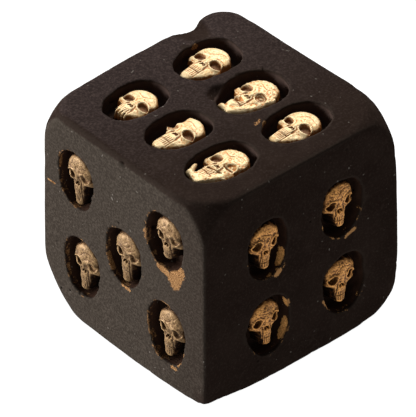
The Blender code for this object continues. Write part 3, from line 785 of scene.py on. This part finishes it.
def resin_material():
    k = Nodes("charcoal_resin")
    grain = k.noise(5200, 4, 0.65, 1.0)
    cloud = k.noise(260, 3, 0.55, 2.0)
    patch = k.noise(900, 3, 0.6, 3.0)
    fine = k.noise(11000, 2, 0.6, 4.0)
    tone = k.mix(k.ramp(cloud, 0.35, 0.68), RESIN_DARK, RESIN_MID)
    tone = k.mix(k.math("MULTIPLY", k.ramp(grain, 0.46, 0.72), 0.60), tone, RESIN_PALE)
    tone = k.mix(k.math("MULTIPLY", k.ramp(patch, 0.52, 0.75), 0.35), tone, (0.0225, 0.0158, 0.0130))
    # convex edges are painted a little lighter as a painted edge highlight; the pockets get painted light and shade
    # below
    bend = k.attribute("bend")
    tone = k.mix(k.math("MULTIPLY", k.ramp(bend, 0.12, 0.8), 0.40), tone, (0.026, 0.0195, 0.0155))
    sunk = k.attribute("sunk")
    up = k.attribute("cube_z")
    # pocket walls are painted lighter and redder than the face, as painted fill light and a painted warm bounce from
    # the gold, and lighter still in the six's pockets; the floors keep more of the dark tone as painted shade
    inside = k.mix(k.ramp(up, 8.0, 8.7), (0.0360, 0.0190, 0.0130), (0.0460, 0.0310, 0.0260))
    tone = k.mix(k.math("MULTIPLY", k.ramp(sunk, 0.03, 0.20), k.ramp(sunk, 0.85, 1.0, 0.90, 0.45)), tone, inside)
    # a greyer painted sheen, with grain in it, on the flat of the five's face where the key light falls; it fades
    # towards the four's edge as painted shade
    flat = k.ramp(k.attribute("cube_y"), -9.80, -9.93)
    five_face_painted_sheen = k.mix(k.ramp(grain, 0.40, 0.66), (0.0250, 0.0198, 0.0158), (0.0470, 0.0380, 0.0305))
    flat = k.math("MULTIPLY", flat, k.ramp(sunk, 0.04, 0.01))
    flat = k.math("MULTIPLY", flat, k.ramp(k.attribute("cube_z"), 9.80, 9.45))
    flat = k.math("MULTIPLY", flat, k.ramp(k.attribute("cube_x"), 3.0, 9.0, 1.0, 0.70))
    tone = k.mix(k.math("MULTIPLY", flat, k.ramp(cloud, 0.15, 0.45, 0.82, 1.0)), tone, five_face_painted_sheen)
    # and a weaker painted sheen on top, strongest on the key light's side and fading towards the four
    top_face_painted_sheen = k.mix(k.ramp(grain, 0.40, 0.66), (0.0190, 0.0138, 0.0128), (0.0430, 0.0310, 0.0280))
    over = k.math("MULTIPLY", k.ramp(up, 9.80, 9.93), k.ramp(k.attribute("cube_x"), 9.0, -9.0, 0.0, 0.85))
    over = k.math("MULTIPLY", over, k.ramp(k.attribute("cube_y"), -9.80, -9.35))
    tone = k.mix(k.math("MULTIPLY", over, k.ramp(sunk, 0.04, 0.01)), tone, top_face_painted_sheen)
    # dust
    dust = k.ramp(k.noise(2600, 1, 0.5, 6.0), 0.735, 0.77)
    tone = k.mix(k.math("MULTIPLY", dust, 0.55), tone, (0.16, 0.145, 0.125))
    # gold smears
    place = k.vector(k.attribute("cube_x"), k.attribute("cube_y"), k.attribute("cube_z"))
    best = None
    for face, a, b, radius, strength in SMEARS:
        pa, pb = face_point(face, a[0], a[1], -a[2]), face_point(face, b[0], b[1], -b[2])
        along = pb - pa
        rel = k.vmath("SUBTRACT", place, tuple(pa))
        t = k.math("DIVIDE", k.vmath("DOT_PRODUCT", rel, tuple(along)), float(along @ along))
        t = k.math("MINIMUM", k.math("MAXIMUM", t, 0.0), 1.0)
        foot = k.vmath("SCALE", tuple(along), scale=t)
        away = k.vmath("LENGTH", k.vmath("SUBTRACT", rel, foot))
        value = k.math("MULTIPLY", k.math("SUBTRACT", 1.0, k.math("DIVIDE", away, radius)), strength)
        best = value if best is None else k.math("MAXIMUM", best, value)
    ragged = k.math("MULTIPLY_ADD", k.noise(2600, 4, 0.62, 8.0), 1.5, -0.75)
    dry = k.math("MULTIPLY_ADD", k.noise(9000, 2, 0.6, 9.0), 0.9, -0.45)
    gold = k.ramp(k.math("ADD", best, k.math("ADD", ragged, dry)), 0.02, 0.20)
    gold = k.math("MULTIPLY", gold, k.ramp(best, -0.15, 0.05))
    broken = k.math("MULTIPLY_ADD", k.noise(1500, 3, 0.65, 12.0), 2.4, -1.2)
    traces = k.ramp(k.math("ADD", k.attribute("lip"), k.math("ADD", broken, dry)), 0.80, 1.05)
    gold = k.math("MAXIMUM", gold, k.math("MULTIPLY", k.math("MULTIPLY", traces, 0.75), k.ramp(k.attribute("lip"), 0.15, 0.35)))
    # the same gold paint is toned per face for the light there, as painted light and shade: darker where the faces are
    # well lit, brighter and more orange on the shaded four, and dimmer on its rims than down the pocket walls
    smear_gold_darkened_for_light = k.mix(k.ramp(fine, 0.4, 0.62), (0.085, 0.038, 0.014), (0.30, 0.165, 0.072))
    smear_gold_brightened_for_shade = k.mix(k.ramp(fine, 0.4, 0.62), (0.55, 0.250, 0.080), (0.98, 0.540, 0.180))
    smear_gold_brightened_for_shade = k.mix(k.ramp(sunk, 0.06, 0.16), (0.30, 0.155, 0.060), smear_gold_brightened_for_shade)
    tone = k.mix(gold, tone, k.mix(k.ramp(k.attribute("cube_x"), 8.0, 8.5), smear_gold_darkened_for_light, smear_gold_brightened_for_shade))
    k.link(tone, k.shader.inputs["Base Color"])
    k.link(k.math("MULTIPLY", gold, 0.10), k.shader.inputs["Metallic"])
    rough = k.math("MULTIPLY_ADD", k.ramp(patch, 0.3, 0.7), 0.14, 0.56)
    rough = k.math("MULTIPLY_ADD", gold, -0.14, rough)
    k.link(rough, k.shader.inputs["Roughness"])
    k.shader.inputs["Specular IOR Level"].default_value = 0.0
    normal = k.bump(grain, 0.35, 0.00006)
    normal = k.bump(patch, 0.30, 0.00012, normal)
    normal = k.bump(k.math("ADD", fine, k.math("MULTIPLY", gold, 0.8)), 0.18, 0.00003, normal)
    k.link(normal, k.shader.inputs["Normal"])
    return k.material


def gold_material(name, pale, mid, deep, hollow, fringe, speckle, metallic, ragged):
    k = Nodes(name)
    grain = k.noise(6500, 4, 0.62, 1.0)
    blot = k.noise(1500, 3, 0.6, 2.0)
    fine = k.noise(13000, 2, 0.6, 3.0)
    bend, sunk, wash = k.attribute("bend"), k.attribute("sunk"), k.attribute("wash")
    tone = k.mix(k.ramp(blot, 0.38, 0.64), pale, mid)
    tone = k.mix(k.math("MULTIPLY", k.ramp(grain, 0.48, 0.70), 0.55), tone, deep)
    # dry-brushed: creases stay brown, ridges shine
    crease = k.ramp(k.math("MULTIPLY_ADD", k.math("SUBTRACT", grain, 0.5), 0.5, bend), -0.07, -0.34)
    tone = k.mix(k.math("MULTIPLY", crease, 0.90), tone, fringe)
    # broad darker patches where the brush missed
    missed = k.ramp(k.noise(1000, 3, 0.6, 9.0), 0.50, 0.64)
    tone = k.mix(k.math("MULTIPLY", missed, speckle), tone, tuple(0.55 * c for c in deep))
    tone = k.mix(k.math("MULTIPLY", k.ramp(bend, 0.06, 0.40), 0.65), tone, pale)
    pool = k.math("MULTIPLY", wash, k.ramp(grain, 0.25, 0.62, 1.0, 0.80))
    tone = k.mix(pool, tone, hollow)
    specks = k.ramp(k.noise(4200, 2, 0.6, 5.0), 0.60, 0.68)
    tone = k.mix(k.math("MULTIPLY", specks, speckle), tone, hollow)
    veins = k.math("ABSOLUTE", k.math("SUBTRACT", k.noise(2300, 3, 0.6, 7.0), 0.5))
    tone = k.mix(k.math("MULTIPLY", k.ramp(veins, 0.026, 0.006), 0.5 * speckle), tone, hollow)
    # thin orange-brown wash along the outline
    outline = k.math("MULTIPLY", k.attribute("rim"), k.ramp(k.math("ADD", sunk, k.math("MULTIPLY", blot, 0.3)), 0.30, 0.60))
    tone = k.mix(k.math("MULTIPLY", outline, 0.80), tone, fringe)
    # the flanks fade to bare dark resin near the pocket floor
    rim = k.math("MULTIPLY_ADD", k.math("SUBTRACT", blot, 0.5), 0.5, sunk)
    bare = k.ramp(rim, 0.52, 0.66)
    worn = k.math("MULTIPLY_ADD", k.math("SUBTRACT", k.noise(3000, 3, 0.6, 11.0), 0.5), 2.4, k.attribute("rim"))
    bare = k.math("MAXIMUM", bare, k.math("MULTIPLY", k.ramp(worn, 0.66, 0.90), ragged))
    tone = k.mix(k.math("MULTIPLY", k.ramp(rim, 0.42, 0.56), 0.6), tone, fringe)
    tone = k.mix(bare, tone, (0.011, 0.006, 0.004))
    k.link(tone, k.shader.inputs["Base Color"])
    metal = k.math("MULTIPLY", k.math("SUBTRACT", 1.0, bare), k.math("MULTIPLY_ADD", pool, -0.7 * metallic, metallic))
    k.link(metal, k.shader.inputs["Metallic"])
    rough = k.math("MULTIPLY_ADD", k.ramp(grain, 0.3, 0.7), 0.14, 0.42)
    k.link(k.math("MULTIPLY_ADD", pool, 0.15, rough), k.shader.inputs["Roughness"])
    k.shader.inputs["Specular IOR Level"].default_value = 0.10
    normal = k.bump(grain, 0.45, 0.00005)
    normal = k.bump(fine, 0.25, 0.00002, normal)
    k.link(normal, k.shader.inputs["Normal"])
    return k.material


RESIN = resin_material()
# one gold paint in three copies toned per face for the light there, as painted light and shade: pale on top, darkened
# on the brightly lit five, brighter and more orange on the shaded four and the hidden faces
SKULL_GOLD = {
    "six": gold_material(
        "brushed_gold_toned_for_top_light", (0.53, 0.415, 0.238), (0.45, 0.300, 0.138), (0.36, 0.175, 0.056),
        (0.150, 0.058, 0.022), (0.34, 0.115, 0.022), 0.22, 0.22, 0.0,
    ),
    "five": gold_material(
        "brushed_gold_darkened_for_key_light", (0.232, 0.143, 0.065), (0.200, 0.118, 0.053), (0.105, 0.056, 0.026),
        (0.022, 0.010, 0.006), (0.085, 0.040, 0.016), 0.55, 0.20, 0.95,
    ),
    "four": gold_material(
        "brushed_gold_brightened_for_shade", (0.80, 0.385, 0.112), (0.36, 0.158, 0.049), (0.160, 0.064, 0.019),
        (0.030, 0.013, 0.006), (0.120, 0.048, 0.016), 0.75, 0.30, 0.95,
    ),
}

body = sculpt_body()
body.data.materials.append(RESIN)
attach(body, "root")
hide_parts("die_body")
sizes = {"body": len(body.data.polygons)}
for index, name in enumerate(POCKETS):
    skull = sculpt_skull(index, name)
    skull.data.materials.append(SKULL_GOLD.get(POCKETS[name][0], SKULL_GOLD["four"]))
    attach(skull, "root")
    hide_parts(name)
    sizes[name] = len(skull.data.polygons)
print("faces", sizes)

# ------------------------------------------------------------------ floor
bpy.ops.mesh.primitive_circle_add(vertices=96, radius=1.5, fill_type="NGON", location=(0, 0, -0.00001))
floor = bpy.context.object
floor.name = "floor"
k = Nodes("pale_floor")
k.link(k.mix(k.ramp(k.noise(9, 3, 0.5, 1.0), 0.3, 0.7), (0.10, 0.10, 0.10), (0.12, 0.12, 0.12)), k.shader.inputs["Base Color"])
k.shader.inputs["Roughness"].default_value = 0.85
k.shader.inputs["Specular IOR Level"].default_value = 0.1
k.shader.inputs["Emission Color"].default_value = (1, 1, 1, 1)
k.shader.inputs["Emission Strength"].default_value = 1.0
floor.data.materials.append(k.material)

# ------------------------------------------------------------------ lights
world = bpy.data.worlds.new("studio")
bpy.context.scene.world = world
world.use_nodes = True
wt = world.node_tree
background = wt.nodes["Background"]
wc = wt.nodes.new("ShaderNodeTexCoord")
ws = wt.nodes.new("ShaderNodeSeparateXYZ")
wt.links.new(wc.outputs["Generated"], ws.inputs[0])
wr = wt.nodes.new("ShaderNodeMapRange")
wr.interpolation_type = "SMOOTHSTEP"
wr.inputs["From Min"].default_value = -0.2
wr.inputs["From Max"].default_value = 0.75
wr.inputs["To Min"].default_value = 0.26
wr.inputs["To Max"].default_value = 0.16
wt.links.new(ws.outputs["X"], wr.inputs["Value"])
wt.links.new(wr.outputs["Result"], background.inputs["Strength"])
background.inputs["Color"].default_value = (1.0, 0.99, 0.97, 1.0)


def area(name, direction, distance, size, power, colour=(1, 1, 1)):
    data = bpy.data.lights.new(name, "AREA")
    data.shape = "DISK"
    data.size = size
    data.energy = power
    data.color = colour
    thing = bpy.data.objects.new(name, data)
    bpy.context.scene.collection.objects.link(thing)
    d = Vector(direction).normalized()
    thing.location = Vector((0, 0, 0.010)) + d * distance
    thing.rotation_euler = d.to_track_quat("Z", "Y").to_euler()
    return thing


area("key_left", (-0.74, -0.66, 0.17), 0.60, 0.22, 8.5, (1.0, 1.0, 1.0))
area("back_softbox", (-0.50, 0.55, 0.66), 0.60, 0.36, 6.6, (1.0, 0.99, 0.97))

# ------------------------------------------------------------------ camera
AZ, EL, ROLL = math.radians(48.593), math.radians(38.657), math.radians(-0.084)
DIST, F_PX, CX, CY = 15.0, 3659.3, -0.038, -0.024
right = Vector((math.cos(AZ), math.sin(AZ), 0))
back = Vector((math.sin(AZ) * math.cos(EL), -math.cos(AZ) * math.cos(EL), math.sin(EL)))
up = back.cross(right)
r1 = math.cos(ROLL) * right + math.sin(ROLL) * up
r2 = -math.sin(ROLL) * right + math.cos(ROLL) * up
camera = bpy.data.objects.new("camera", bpy.data.cameras.new("camera"))
bpy.context.scene.collection.objects.link(camera)
camera.matrix_world = Matrix.Translation(
    Vector(CENTRE) * MM + SIDE * MM * (CX * r1 + CY * r2 + DIST * back)
) @ Matrix((r1, r2, back)).transposed().to_4x4()
camera.data.sensor_width = 36.0
camera.data.lens = 36.0 * F_PX / 417.0
camera.data.clip_start = 0.01
camera.data.clip_end = 10.0
bpy.context.scene.camera = camera
bpy.context.scene.view_settings.view_transform = "Standard"
bpy.context.scene.view_settings.look = "None"
bpy.context.scene.view_settings.exposure = 0.0
bpy.context.scene.view_settings.gamma = 1.0

bpy.context.view_layer.update()
